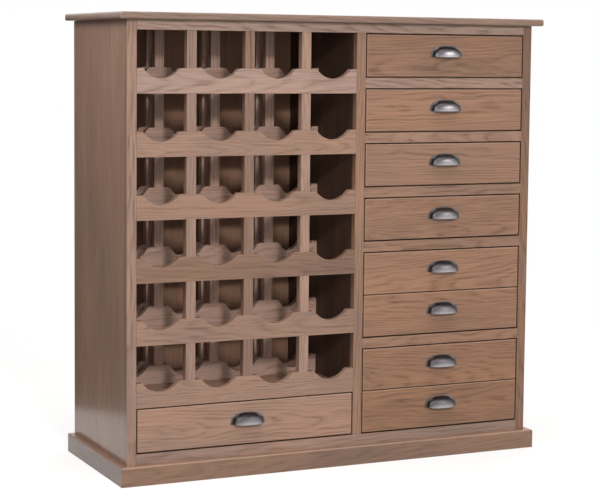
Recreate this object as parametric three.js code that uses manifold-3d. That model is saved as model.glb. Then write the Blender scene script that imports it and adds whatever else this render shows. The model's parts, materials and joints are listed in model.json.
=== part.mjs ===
// Free-standing wine cabinet: a scalloped rack of 24 cells on the left, seven wooden drawers.
// Millimetres, +Z up, front towards -Y. The origin is on the floor, under the middle of the footprint.

import * as THREE from 'three';
import { mergeVertices } from 'three/addons/utils/BufferGeometryUtils.js';
import Module from 'manifold-3d';

const wasm = await Module();
wasm.setup();

// Overall size
const cabinetHeight = 1200;
const bodyWidth = 1182;
const bodyDepth = 432;
const fit = 0.3; // clearance where two glued pieces meet

// Top board
const topThickness = 18.5;
const topOverhang = 25; // past the body at the front and sides, flush at the back
const topEdgeRound = 5;
const topCornerRound = 6;

// Plinth round the foot of the body
const plinthHeight = 50;
const plinthThickness = 19;
const plinthEdgeRound = 3.5;

// Face frame of the front
const frameThickness = 22;
const stileWidth = 26;
const topRailHeight = 25.5;
const bottomRailTop = 78;
const bottomRailFoot = 20; // the rail runs down behind the plinth
const boardEase = 0.8; // eased arris along the visible edges

// Carcass boards
const sideThickness = 20;
const dividerThickness = 18;
const bottomThickness = 18;
const rackFloorThickness = 12;
const backThickness = 8;
const backRebateWidth = 10;
const plinthBackThickness = 18;

// Rack: a front lattice and two inner ones
const rackWidth = 616; // clear width of the left bay
const rackColumns = 4;
const rackRows = 6;
const rackPostWidth = 26;
const rackRailHeight = 64;
const rackCellHeight = 96; // clear height above a rail's flats
const rackThickness = 22;
const middleLatticeFront = 235; // behind the face of the cabinet
const rearLatticeFront = 300;
const frontHollow = { radius: 61, depth: 25.7, shoulder: 4 };
const innerHollow = { radius: 51, depth: 33, shoulder: 15 }; // deeper and rounder than in front
const scallopSegments = 10;
const shoulderSegments = 3;

// Drawer openings in the right column, from the top down
const singleDrawers = 4;
const deepDrawers = 2;
const singleOpening = 118.5;
const drawerRailHeight = 27.5;
const wideOpening = 118;

// Drawers
const frontThickness = 20;
const frontGap = 3; // shadow gap round an inset front
const splitGap = 1.5; // between the two boards of a deep front
const frontEase = 3;
const boxSideClearance = 3;
const boxLift = 0.5; // running clearance over the runners
const boxTopClearance = 14;
const boxDepth = 384;
const boxWall = 12;
const boxFloorThickness = 6;
const boxFloorRise = 9; // the floor sits in a groove above the lower edge
const boxFloorHousing = 5; // how far the floor enters the walls
const boxBackDrop = 10; // the back is lower than the sides

// Runners on the sides of the column
const runnerHeight = 16;
const runnerOverlap = 11; // under the side of a drawer box

// Cup pulls
const pullWidth = 97;
const pullHeight = 31;
const pullRise = 13; // middle of the pull above the middle of its board
const domeWidth = 81;
const domeHeight = 27.5;
const domeReach = 23.5;
const domeFullness = 2.5; // 2 would be an ellipsoid, more makes it squarer
const domeWall = 2;
const flangeThickness = 1.8;
const flangeFoot = 9.5;
const domeFacets = 10; // from pole to pole
const flangeFacets = 16;

// Places that follow from the driving sizes
const underTop = cabinetHeight - topThickness;
const outerX = bodyWidth / 2;
const frameInnerX = outerX - stileWidth;
const rackRight = -frameInnerX + rackWidth;
const columnLeft = rackRight + stileWidth;
const openingTop = underTop - topRailHeight;
const carcassFront = frameThickness + fit;
const backRebateFront = bodyDepth - backThickness - 2 * fit;
const innerX = outerX - sideThickness;
const cellWidth = (rackWidth - (rackColumns - 1) * rackPostWidth) / rackColumns;
const rowPitch = rackRailHeight + rackCellHeight;
const rackBottom = openingTop - rackRows * rowPitch;
const columnRails = singleDrawers + deepDrawers - 1;
const deepOpening = (openingTop - bottomRailTop - singleDrawers * singleOpening
  - columnRails * drawerRailHeight) / deepDrawers;
const footprintMiddle = (bodyDepth - topOverhang) / 2;

const washedOak = new THREE.MeshStandardMaterial({ color: '#9a7c6b', roughness: 0.62, metalness: 0 });
const shadedOak = new THREE.MeshStandardMaterial({ color: '#7d675a', roughness: 0.7, metalness: 0 });
const drawerWood = new THREE.MeshStandardMaterial({ color: '#b79a7c', roughness: 0.65, metalness: 0 });
const agedPewter = new THREE.MeshStandardMaterial({ color: '#6c6a6d', roughness: 0.35, metalness: 0.9 });

// All pieces are placed from the middle of the body's front face
const cabinet = new THREE.Group();
const pieces = new THREE.Group();
pieces.position.y = -footprintMiddle;
cabinet.add(pieces);

function addPiece(name, geometry, material, x, y, z) {
  const mesh = new THREE.Mesh(geometry, material);
  mesh.name = name;
  mesh.position.set(x, y, z);
  pieces.add(mesh);
  return mesh;
}

// Solids for cutting and joining

function toSolid(geometry) {
  const bare = geometry.clone();
  bare.deleteAttribute('normal');
  bare.deleteAttribute('uv');
  const merged = mergeVertices(bare, 1e-4);
  return new wasm.Manifold(new wasm.Mesh({
    numProp: 3,
    vertProperties: new Float32Array(merged.attributes.position.array),
    triVerts: new Uint32Array(merged.index.array),
  }));
}

function toGeometry(solid) {
  const mesh = solid.getMesh();
  const geometry = new THREE.BufferGeometry();
  geometry.setAttribute('position', new THREE.BufferAttribute(mesh.vertProperties, 3));
  geometry.setIndex(new THREE.BufferAttribute(mesh.triVerts, 1));
  geometry.computeVertexNormals();
  return geometry;
}

function block(x0, x1, y0, y1, z0, z1) {
  const box = new THREE.BoxGeometry(x1 - x0, y1 - y0, z1 - z0);
  box.translate((x0 + x1) / 2, (y0 + y1) / 2, (z0 + z1) / 2);
  return toSolid(box);
}

function extrude(shape, depth, curveSegments = 3) {
  return new THREE.ExtrudeGeometry(shape, { depth, bevelEnabled: false, curveSegments });
}

// A shape drawn in X and Z, given a thickness from y = 0 towards the back
function standUp(shape, thickness) {
  const geometry = extrude(shape, thickness);
  geometry.rotateX(Math.PI / 2);
  geometry.translate(0, thickness, 0);
  return geometry;
}

function rectangle(x0, x1, y0, y1) {
  const shape = new THREE.Shape();
  shape.moveTo(x0, y0);
  shape.lineTo(x1, y0);
  shape.lineTo(x1, y1);
  shape.lineTo(x0, y1);
  shape.closePath();
  return shape;
}

// A sawn board standing on its end, its two front arrises rounded by ease
function board(length, width, thickness, ease = boardEase) {
  const half = width / 2;
  const section = new THREE.Shape();
  section.moveTo(half, ease);
  section.lineTo(half, thickness);
  section.lineTo(-half, thickness);
  section.lineTo(-half, ease);
  section.absarc(-half + ease, ease, ease, Math.PI, 1.5 * Math.PI, false);
  section.lineTo(half - ease, 0);
  section.absarc(half - ease, ease, ease, 1.5 * Math.PI, 2 * Math.PI, false);
  return extrude(section, length, 1);
}

// A plain panel between two corners
function panel(x0, x1, y0, y1, z0, z1) {
  const geometry = extrude(rectangle(x0, x1, y0, y1), z1 - z0);
  geometry.translate(0, 0, z0);
  return geometry;
}

function addUpright(name, xMiddle, width, z0, z1) {
  return addPiece(name, board(z1 - z0, width, frameThickness), washedOak, xMiddle, 0, z0);
}

function addCrossRail(name, x0, x1, z0, z1) {
  const rail = addPiece(name, board(x1 - x0, z1 - z0, frameThickness), washedOak, x0, 0, (z0 + z1) / 2);
  rail.rotation.y = Math.PI / 2;
  return rail;
}

// Top board with a rounded edge at the front and sides and a square back edge
function topBoard() {
  const half = outerX + topOverhang;
  const spare = 4 * topEdgeRound;
  const outline = new THREE.Shape();
  outline.moveTo(half, bodyDepth + spare);
  outline.lineTo(-half, bodyDepth + spare);
  outline.lineTo(-half, -topOverhang + topCornerRound);
  outline.absarc(-half + topCornerRound, -topOverhang + topCornerRound, topCornerRound,
    Math.PI, 1.5 * Math.PI, false);
  outline.lineTo(half - topCornerRound, -topOverhang);
  outline.absarc(half - topCornerRound, -topOverhang + topCornerRound, topCornerRound,
    1.5 * Math.PI, 2 * Math.PI, false);
  outline.closePath();
  const geometry = new THREE.ExtrudeGeometry(outline, {
    depth: topThickness - 2 * topEdgeRound,
    bevelThickness: topEdgeRound,
    bevelSize: topEdgeRound,
    bevelOffset: -topEdgeRound,
    bevelSegments: 3,
    curveSegments: 2,
  });
  geometry.translate(0, 0, topEdgeRound);
  const trim = block(-2 * half, 2 * half, bodyDepth, bodyDepth + 2 * spare, -spare, spare + topThickness);
  return toGeometry(toSolid(geometry).subtract(trim));
}

// Side panel in plan, with a rebate for the back panel; side is -1 on the left and 1 on the right
function sidePanel(side) {
  const outer = side * outerX;
  const inner = side * innerX;
  const rebate = side * (outerX - sideThickness + backRebateWidth);
  const plan = new THREE.Shape();
  plan.moveTo(outer, carcassFront);
  plan.lineTo(inner, carcassFront);
  plan.lineTo(inner, backRebateFront);
  plan.lineTo(rebate, backRebateFront);
  plan.lineTo(rebate, bodyDepth);
  plan.lineTo(outer, bodyDepth);
  plan.closePath();
  return extrude(plan, underTop - fit);
}

function addCarcass() {
  addPiece('top_board', topBoard(), washedOak, 0, 0, underTop);
  addPiece('left_side_panel', sidePanel(-1), washedOak, 0, 0, 0);
  addPiece('right_side_panel', sidePanel(1), washedOak, 0, 0, 0);
  const clearX = innerX - fit;
  const clearBack = backRebateFront - fit;
  const bottom = panel(-clearX, clearX, carcassFront, clearBack, bottomRailTop - bottomThickness,
    bottomRailTop);
  addPiece('bottom_board', bottom, shadedOak, 0, 0, 0);
  const divider = panel(0, dividerThickness, carcassFront, clearBack, bottomRailTop + fit, underTop - fit);
  addPiece('divider_panel', divider, shadedOak, rackRight, 0, 0);
  const rackFloor = panel(-clearX, rackRight - fit, carcassFront, clearBack, rackBottom + fit,
    rackBottom + fit + rackFloorThickness);
  addPiece('rack_floor_board', rackFloor, washedOak, 0, 0, 0);
  const backHalf = outerX - sideThickness + backRebateWidth - fit;
  const back = panel(-backHalf, backHalf, backRebateFront + fit, backRebateFront + fit + backThickness,
    bottomRailTop - bottomThickness, underTop - fit);
  addPiece('back_panel', back, shadedOak, 0, 0, 0);
  const backFoot = panel(-clearX, clearX, bodyDepth - plinthBackThickness, bodyDepth, 0,
    bottomRailTop - bottomThickness - fit);
  addPiece('plinth_back', backFoot, shadedOak, 0, 0, 0);
}

// Plinth board along X or Y: an eased section whose ends are cut to a mitre

function plinthSection() {
  const section = new THREE.Shape();
  section.moveTo(0, 0);
  section.lineTo(plinthThickness - fit, 0);
  section.lineTo(plinthThickness - fit, plinthHeight);
  section.lineTo(plinthEdgeRound, plinthHeight);
  section.absarc(plinthEdgeRound, plinthHeight - plinthEdgeRound, plinthEdgeRound, 0.5 * Math.PI, Math.PI,
    false);
  section.closePath();
  return section;
}

// Wedge that is taken off the left end of a board which starts at x = 0
function mitreWedge() {
  const past = 2 * plinthThickness;
  const wedge = new THREE.Shape();
  wedge.moveTo(-past, -past);
  wedge.lineTo(past, past);
  wedge.lineTo(-past, past);
  wedge.closePath();
  const geometry = extrude(wedge, 2 * plinthHeight);
  geometry.translate(fit, 0, -plinthHeight / 2);
  return toSolid(geometry);
}

// The board runs from x = 0, its outer face on y = 0
function plinthBoard(length, mitreFarEnd) {
  const geometry = extrude(plinthSection(), length);
  geometry.rotateX(Math.PI / 2);
  geometry.rotateZ(Math.PI / 2);
  let solid = toSolid(geometry).subtract(mitreWedge());
  if (mitreFarEnd) {
    solid = solid.subtract(mitreWedge().mirror([1, 0, 0]).translate([length, 0, 0]));
  }
  return toGeometry(solid);
}

function addPlinth() {
  const reachX = outerX + plinthThickness;
  addPiece('plinth_front', plinthBoard(2 * reachX, true), washedOak, -reachX, -plinthThickness, 0);
  const sideLength = bodyDepth + plinthThickness;
  const right = addPiece('plinth_right', plinthBoard(sideLength, false), washedOak, reachX,
    -plinthThickness, 0);
  right.rotation.z = Math.PI / 2;
  const mirrored = toGeometry(toSolid(plinthBoard(sideLength, false)).mirror([1, 0, 0]));
  const left = addPiece('plinth_left', mirrored, washedOak, -reachX, -plinthThickness, 0);
  left.rotation.z = -Math.PI / 2;
}

// Face frame: outer stiles to the floor, long top and bottom rails, then the centre stile

function addFaceFrame() {
  const stileMiddle = outerX - stileWidth / 2;
  addUpright('left_stile', -stileMiddle, stileWidth, 0, underTop - fit);
  addUpright('right_stile', stileMiddle, stileWidth, 0, underTop - fit);
  const railEnd = frameInnerX - fit;
  addCrossRail('top_rail', -railEnd, railEnd, openingTop, underTop - fit);
  addCrossRail('bottom_rail', -railEnd, railEnd, bottomRailFoot, bottomRailTop);
  const centreMiddle = rackRight + stileWidth / 2;
  addUpright('centre_stile', centreMiddle, stileWidth, bottomRailTop + fit, openingTop - fit);
  drawerOpenings().slice(0, -1).forEach((opening, index) => {
    const z1 = opening.z0;
    addCrossRail('drawer_rail_' + (index + 1), columnLeft + fit, railEnd, z1 - drawerRailHeight, z1);
  });
}

// Drawer openings of the right column, from the top down
function drawerOpenings() {
  const heights = [...Array(singleDrawers).fill(singleOpening), ...Array(deepDrawers).fill(deepOpening)];
  let z1 = openingTop;
  return heights.map((height) => {
    const opening = { x0: columnLeft, x1: frameInnerX, z0: z1 - height, z1 };
    z1 -= height + drawerRailHeight;
    return opening;
  });
}

// Rack: half-lapped scalloped rails and posts

function arcPoints(cx, cz, radius, from, to, segments) {
  const points = [];
  for (let i = 0; i <= segments; i++) {
    const angle = from + (to - from) * i / segments;
    points.push(new THREE.Vector2(cx + radius * Math.cos(angle), cz + radius * Math.sin(angle)));
  }
  return points;
}

// One hollow from right to left: shoulder, scallop, shoulder
function scallopPoints(cx, flat, hollow) {
  const { radius, depth, shoulder } = hollow;
  const arcCentre = flat - depth + radius;
  const shoulderCentre = flat - shoulder;
  const drop = arcCentre - shoulderCentre;
  const reach = radius + shoulder;
  const spread = Math.sqrt(reach * reach - drop * drop);
  const slope = Math.atan2(drop, spread);
  return [
    ...arcPoints(cx + spread, shoulderCentre, shoulder, Math.PI / 2, Math.PI - slope, shoulderSegments),
    ...arcPoints(cx, arcCentre, radius, -slope, slope - Math.PI, scallopSegments).slice(1, -1),
    ...arcPoints(cx - spread, shoulderCentre, shoulder, slope, Math.PI / 2, shoulderSegments),
  ];
}

function cellLeft(column) {
  return -frameInnerX + column * (cellWidth + rackPostWidth);
}

function postLeft(post) {
  return cellLeft(post) + cellWidth;
}

// Outline of one rail from x0 to x1, its foot on z = 0
function scallopedRail(x0, x1, hollow) {
  const points = [new THREE.Vector2(x0, 0), new THREE.Vector2(x1, 0), new THREE.Vector2(x1, rackRailHeight)];
  for (let column = rackColumns - 1; column >= 0; column--) {
    points.push(...scallopPoints(cellLeft(column) + cellWidth / 2, rackRailHeight, hollow));
  }
  points.push(new THREE.Vector2(x0, rackRailHeight));
  return standUp(new THREE.Shape(points), rackThickness);
}

function railFoot(row) {
  return openingTop - (row + 1) * rowPitch;
}

function addFrontRack() {
  const lap = rackThickness / 2;
  const halfFit = fit / 2;
  let rail = toSolid(scallopedRail(-frameInnerX + fit, rackRight - fit, frontHollow));
  for (let post = 0; post < rackColumns - 1; post++) {
    const x = postLeft(post);
    rail = rail.subtract(block(x - fit, x + rackPostWidth + fit, lap - halfFit, rackThickness + 1, -1,
      rackRailHeight + 1));
  }
  let upright = block(0, rackPostWidth, 0, rackThickness, 0, openingTop - rackBottom - fit);
  for (let row = 0; row < rackRows; row++) {
    const z = railFoot(row) - rackBottom;
    const below = row === rackRows - 1 ? 1 : fit;
    upright = upright.subtract(block(-1, rackPostWidth + 1, -1, lap + halfFit, z - below,
      z + rackRailHeight + fit));
    addPiece('rack_rail_' + (row + 1), toGeometry(rail), washedOak, 0, 0, railFoot(row));
  }
  for (let post = 0; post < rackColumns - 1; post++) {
    addPiece('rack_post_' + (post + 1), toGeometry(upright), washedOak, postLeft(post), 0, rackBottom);
  }
}

// Inner lattice: the same rails and posts, glued up as one grid between the side and the divider
function addInnerLattice(name, front) {
  const foot = rackBottom + 2 * fit + rackFloorThickness;
  let lattice = null;
  const join = (solid) => {
    lattice = lattice ? lattice.add(solid) : solid;
  };
  for (let row = 0; row < rackRows; row++) {
    const rail = scallopedRail(-innerX + fit, rackRight - fit, innerHollow);
    rail.translate(0, 0, railFoot(row));
    join(toSolid(rail));
  }
  lattice = lattice.subtract(block(-innerX, rackRight, -1, rackThickness + 1, rackBottom - 1, foot));
  for (let post = 0; post < rackColumns - 1; post++) {
    const x = postLeft(post);
    join(block(x, x + rackPostWidth, 0, rackThickness, foot, underTop - fit));
  }
  addPiece(name, toGeometry(lattice), washedOak, 0, front, 0);
}

// Runner boards: a thin spine with one runner under each drawer above the lowest

function runnerBoard(spine) {
  const reach = spine + boxSideClearance + runnerOverlap;
  const outline = new THREE.Shape();
  outline.moveTo(0, bottomRailTop + fit);
  outline.lineTo(spine, bottomRailTop + fit);
  drawerOpenings().slice(0, -1).reverse().forEach((opening) => {
    outline.lineTo(spine, opening.z0 - runnerHeight);
    outline.lineTo(reach, opening.z0 - runnerHeight);
    outline.lineTo(reach, opening.z0);
    outline.lineTo(spine, opening.z0);
  });
  outline.lineTo(spine, underTop - fit);
  outline.lineTo(0, underTop - fit);
  outline.closePath();
  return standUp(outline, backRebateFront - fit - carcassFront);
}

function addRunners() {
  const leftSpine = columnLeft - rackRight - dividerThickness - fit;
  addPiece('left_runner_board', runnerBoard(leftSpine), drawerWood, columnLeft - leftSpine, carcassFront, 0);
  const rightSpine = innerX - frameInnerX - fit;
  const mirrored = toGeometry(toSolid(runnerBoard(rightSpine)).mirror([1, 0, 0]));
  addPiece('right_runner_board', mirrored, drawerWood, innerX - fit, carcassFront, 0);
  const guide = panel(-innerX + fit, -frameInnerX, carcassFront, carcassFront + boxDepth, bottomRailTop + fit,
    bottomRailTop + 2 * runnerHeight);
  addPiece('wide_drawer_guide', guide, drawerWood, 0, 0, 0);
}

// Drawer box: four walls, a floor housed above the lower edge and a lower back
function drawerBox(opening) {
  const x0 = opening.x0 + boxSideClearance;
  const x1 = opening.x1 - boxSideClearance;
  const height = opening.z1 - opening.z0 - boxTopClearance;
  const walls = rectangle(x0, x1, 0, boxDepth);
  walls.holes.push(rectangle(x0 + boxWall, x1 - boxWall, boxWall, boxDepth - boxWall));
  const housed = boxWall - boxFloorHousing;
  const floor = block(x0 + housed, x1 - housed, housed, boxDepth - housed, boxFloorRise,
    boxFloorRise + boxFloorThickness);
  const drop = block(x0 + boxWall, x1 - boxWall, boxDepth - boxWall - 1, boxDepth + 1, height - boxBackDrop,
    height + 1);
  return toGeometry(toSolid(extrude(walls, height)).add(floor).subtract(drop));
}

// Solid board of a drawer front with eased arrises, its face on y = 0
function drawerFront(x0, x1, z0, z1) {
  const geometry = new THREE.ExtrudeGeometry(rectangle(x0, x1, z0, z1), {
    depth: frontThickness - 2 * frontEase,
    bevelThickness: frontEase,
    bevelSize: frontEase,
    bevelOffset: -frontEase,
    bevelSegments: 2,
  });
  geometry.rotateX(Math.PI / 2);
  geometry.translate(0, frontThickness - frontEase, 0);
  return geometry;
}

// Half an ellipse standing on z = 0, from the right foot over the top to the left foot
function halfEllipse(halfWidth, height, segments) {
  const points = [];
  for (let i = 0; i <= segments; i++) {
    const angle = Math.PI * i / segments;
    points.push(new THREE.Vector2(halfWidth * Math.cos(angle), height * Math.sin(angle)));
  }
  return points;
}

// Full round form of the cup: an ellipsoid whose sides are pushed out a little
function domeForm(inset) {
  const form = new THREE.SphereGeometry(1, 2 * domeFacets, domeFacets);
  form.rotateX(Math.PI / 2);
  const places = form.attributes.position;
  const place = new THREE.Vector3();
  for (let i = 0; i < places.count; i++) {
    place.fromBufferAttribute(places, i);
    const sum = [...place].reduce((total, part) => total + Math.abs(part) ** domeFullness, 0);
    places.setXYZ(i, ...place.divideScalar(sum ** (1 / domeFullness)));
  }
  form.scale(domeWidth / 2 - inset, domeReach - inset, domeHeight - inset);
  return toSolid(form);
}

// Cast cup pull: a quarter of the hollow form, open below, on a thin flange; its back is on y = 0
function cupPull() {
  const quarter = block(-pullWidth, pullWidth, -2 * domeReach, 0, 0, 2 * domeHeight);
  const dome = domeForm(0).subtract(domeForm(domeWall)).intersect(quarter);
  const outline = [
    ...halfEllipse(pullWidth / 2, pullHeight, flangeFacets),
    ...halfEllipse(pullWidth / 2 - flangeFoot, pullHeight - flangeFoot, flangeFacets).reverse(),
  ];
  const flange = standUp(new THREE.Shape(outline), flangeThickness);
  flange.translate(0, -flangeThickness, 0);
  return toGeometry(dome.add(toSolid(flange)));
}

function addPull(name, x0, x1, z0, z1) {
  const z = (z0 + z1) / 2 + pullRise - pullHeight / 2;
  addPiece(name, cupPull(), agedPewter, (x0 + x1) / 2, -fit, z);
}

// One drawer; a deep one shows two boards, each with a pull
function addDrawer(name, opening, boards) {
  const x0 = opening.x0 + frontGap;
  const x1 = opening.x1 - frontGap;
  const z1 = opening.z1 - frontGap;
  const splits = (boards.length - 1) * splitGap;
  const boardHeight = (opening.z1 - opening.z0 - 2 * frontGap - splits) / boards.length;
  boards.forEach((label, index) => {
    const top = z1 - index * (boardHeight + splitGap);
    const prefix = name + (label ? '_' + label : '');
    addPiece(prefix + '_front', drawerFront(x0, x1, top - boardHeight, top), washedOak, 0, 0, 0);
    addPull(prefix + '_cup_pull', x0, x1, top - boardHeight, top);
  });
  addPiece(name + '_box', drawerBox(opening), drawerWood, 0, frontThickness + fit, opening.z0 + boxLift);
}

function addDrawers() {
  drawerOpenings().forEach((opening, index) => {
    if (index < singleDrawers) {
      addDrawer('drawer_' + (index + 1), opening, ['']);
    } else {
      addDrawer('deep_drawer_' + (index - singleDrawers + 1), opening, ['upper', 'lower']);
    }
  });
  const wide = { x0: -frameInnerX, x1: rackRight, z0: bottomRailTop, z1: bottomRailTop + wideOpening };
  addDrawer('wide_drawer', wide, ['']);
}

addCarcass();
addPlinth();
addFaceFrame();
addFrontRack();
addInnerLattice('rack_middle_lattice', middleLatticeFront);
addInnerLattice('rack_rear_lattice', rearLatticeFront);
addRunners();
addDrawers();

export default cabinet;
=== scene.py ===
import json
import math
import random

import bmesh
import bpy
from mathutils import Matrix, Vector


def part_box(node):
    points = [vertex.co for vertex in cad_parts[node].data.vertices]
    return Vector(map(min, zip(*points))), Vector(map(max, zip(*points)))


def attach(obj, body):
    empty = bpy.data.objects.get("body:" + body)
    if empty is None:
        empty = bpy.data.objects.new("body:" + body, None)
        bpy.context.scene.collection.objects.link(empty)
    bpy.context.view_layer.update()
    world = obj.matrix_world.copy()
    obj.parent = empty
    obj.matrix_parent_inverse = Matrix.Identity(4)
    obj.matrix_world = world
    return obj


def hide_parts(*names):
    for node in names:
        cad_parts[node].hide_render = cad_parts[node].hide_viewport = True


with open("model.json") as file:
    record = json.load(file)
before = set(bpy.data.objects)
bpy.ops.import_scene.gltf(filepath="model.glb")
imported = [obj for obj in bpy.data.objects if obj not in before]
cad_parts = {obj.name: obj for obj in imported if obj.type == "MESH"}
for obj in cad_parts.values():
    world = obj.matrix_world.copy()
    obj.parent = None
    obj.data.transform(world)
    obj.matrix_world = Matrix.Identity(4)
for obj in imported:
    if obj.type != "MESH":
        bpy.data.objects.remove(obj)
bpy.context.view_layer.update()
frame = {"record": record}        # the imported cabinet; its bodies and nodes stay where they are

mm = 0.001
hair = 0.01 * mm         # places closer than this are the same
bodyOfNode = {
    node: body
    for body, nodes in frame["record"]["behaviour"]["bodies"].items()
    for node in nodes
}


# The photograph is taken from the left of the cabinet and a little below its top.
print("camera")
cameraSettings = {
    "place": (-2.041, -4.343, 1.101),
    "yaw": 24.99,             # degrees from straight ahead towards the right
    "pitch": -5.13,
    "roll": 0.57,
    "focalPixels": 1747,
    "imageWidth": 600,
    "imageHeight": 500,
    "axisRow": 210,           # image row of the lens axis: the lens is shifted a little down
    "sensorWidth": 36,
    "clipEnd": 50,
}


def makeCamera(settings):
    data = bpy.data.cameras.new("camera")
    data.sensor_width = settings["sensorWidth"]
    data.lens = settings["focalPixels"] * data.sensor_width / settings["imageWidth"]
    rowsFromMiddle = settings["axisRow"] - settings["imageHeight"] / 2
    data.shift_y = rowsFromMiddle / settings["imageWidth"]
    data.clip_end = settings["clipEnd"]
    camera = bpy.data.objects.new("camera", data)
    turn = (
        Matrix.Rotation(math.radians(-settings["yaw"]), 4, "Z")
        @ Matrix.Rotation(math.radians(90 + settings["pitch"]), 4, "X")
        @ Matrix.Rotation(math.radians(settings["roll"]), 4, "Z")
    )
    camera.matrix_world = Matrix.Translation(settings["place"]) @ turn
    bpy.context.scene.collection.objects.link(camera)
    bpy.context.scene.camera = camera


makeCamera(cameraSettings)


def hexColour(code):
    # sRGB hex to the linear values that shader sockets hold
    linear = []
    for start in (1, 3, 5):
        value = int(code[start:start + 2], 16) / 255
        linear.append(value / 12.92 if value <= 0.04045 else ((value + 0.055) / 1.055) ** 2.4)
    return (*linear, 1)


def addNode(tree, kind, settings=None, inputs=None):
    # one node with its settings; an input is a value or the socket that feeds it
    node = tree.nodes.new(kind)
    for key, value in (settings or {}).items():
        setattr(node, key, value)
    for key, value in (inputs or {}).items():
        if isinstance(value, bpy.types.NodeSocket):
            tree.links.new(value, node.inputs[key])
        else:
            node.inputs[key].default_value = value
    return node


def newMaterial(name):
    material = bpy.data.materials.new(name)
    material.use_nodes = True
    tree = material.node_tree
    tree.nodes.clear()
    return material, tree


def rampStops(ramp, stops):
    # stops are (position, colour) pairs; the ramp starts with two of its own
    elements = ramp.color_ramp.elements
    while len(elements) < len(stops):
        elements.new(0.5)
    for element, (position, colour) in zip(elements, stops):
        element.position = position
        element.color = colour


# Oak with a grey-brown wash: plain sawn, brushed, stained, then a thin satin lacquer.
# The eye gets wavy growth lines a few millimetres apart, short open pores and cloudy colour,
# and no two boards take the stain alike: some stay greyer, some go golden, some darker.
print("materials")
# grey and golden are the ground, dark the open grain and worn the rubbed arrises
washedOak = {"grey": "#9c8377", "golden": "#9d7255", "dark": "#644733", "worn": "#ab8c79"}
woodFinishes = {
    "washedOakLacquer": {
        **washedOak, "roughness": 0.5, "specular": 0.2, "grainShare": 0.85, "lacquer": 0.65,
    },
    "washedOakThinCoat": {    # the lattices deep in the rack: the same wash, hardly any lacquer
        **washedOak, "roughness": 0.55, "specular": 0.2, "grainShare": 0.85, "lacquer": 0.15,
    },
    "washedOakInside": {      # unlacquered and flatter, and darkened as painted shade for the deep inside
        "grey": "#5c4a40", "golden": "#63493a", "dark": "#3f2c22", "worn": "#685447",
        "roughness": 0.66, "specular": 0.3, "grainShare": 0.6, "lacquer": 0.0,
    },
    "stainedOakVeneer": {     # the thin back panel: wide smooth sheets
        "grey": "#8a6c5b", "golden": "#8f6c56", "dark": "#664a3a", "worn": "#957766",
        "roughness": 0.6, "specular": 0.3, "grainShare": 0.25, "lacquer": 0.0,
    },
    "clearBirchPly": {        # drawer boxes and runners: pale, clear-lacquered wood
        "grey": "#bda78b", "golden": "#c0a685", "dark": "#9f8566", "worn": "#ccb89f",
        "roughness": 0.55, "specular": 0.3, "grainShare": 0.5, "lacquer": 0.3,
    },
}
woodPattern = {
    "ringSpacing": 5.2 * mm,   # a slow-grown board has 2 to 3 mm; drawn coarser so that it shows
    "waveDepth": 15 * mm,
    "noises": {                # length along the grain, width across it, detail, roughness
        "wander": (150 * mm, 60 * mm, 2.0, 0.5),    # how the growth lines stray along a board
        "pores": (110 * mm, 1.9 * mm, 2.0, 0.55),   # real pores are 0.3 mm wide; drawn as streaks
        "fibres": (260 * mm, 5.5 * mm, 3.0, 0.6),
        "clouds": (420 * mm, 130 * mm, 2.0, 0.55),
    },
    # place in a growth ring and how open it is: early wood is open and dark, late wood dense
    "ringStops": ((0.0, 0.55), (0.12, 1.0), (0.38, 0.35), (0.75, 0.05), (1.0, 0.5)),
    "poreRange": {"From Min": 0.42, "From Max": 0.68},
    "fibreRange": {"From Min": 0.3, "From Max": 0.7},
    "cloudRange": {"From Min": 0.3, "From Max": 0.7, "To Min": -0.12, "To Max": 0.12},
    "poreShare": 0.26,         # how much the pores darken beside the rings
    "cloudShade": 3.0,         # how much more the clouds shift pale and dark than grey and golden
    "stainShade": {"To Min": 1.18, "To Max": 0.82},    # brightness of a pale and a dark board
    "fibreShade": {"To Min": 1.08, "To Max": 0.94},
    "wornShare": 0.5,
    "reliefDepth": 0.25 * mm, "reliefStrength": 0.5,
    "openRoughness": 0.16,     # added where the grain is open
    "lacquerRoughness": 0.17,
}


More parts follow.
